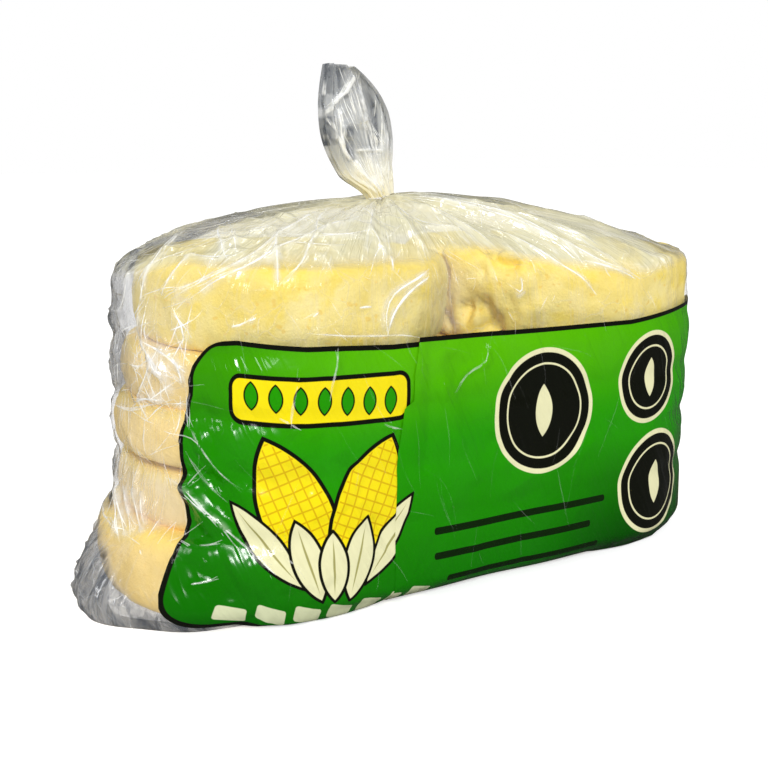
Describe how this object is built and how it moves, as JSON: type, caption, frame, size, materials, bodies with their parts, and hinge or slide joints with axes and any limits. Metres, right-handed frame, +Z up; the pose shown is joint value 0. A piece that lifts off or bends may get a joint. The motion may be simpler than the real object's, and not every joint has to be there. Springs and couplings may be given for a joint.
{
  "type": "bag of arepas",
  "caption": "Clear film bag of stacked round maize arepas, with a green printed panel on its front, gathered at the neck into an upright tail.",
  "frame": {"origin": "middle of the bag's box, on the surface that it rests on", "axes": "+Z up towards the neck, +X along the bag's length, and the printed side faces -Y"},
  "size_m": [0.2368, 0.1106, 0.1658],
  "materials": {
    "clear_film": "clear, creased and glossy film, seen here with the pale yellow arepas behind it",
    "printed_film": "opaque green print on the film, glossy and creased, with a black border",
    "arepa": "moist, slightly rough maize dough, pale yellow with deeper yellow specks"
  },
  "bodies": {
    "root": {"film_bag": "clear_film"}
  },
  "joints": []
}
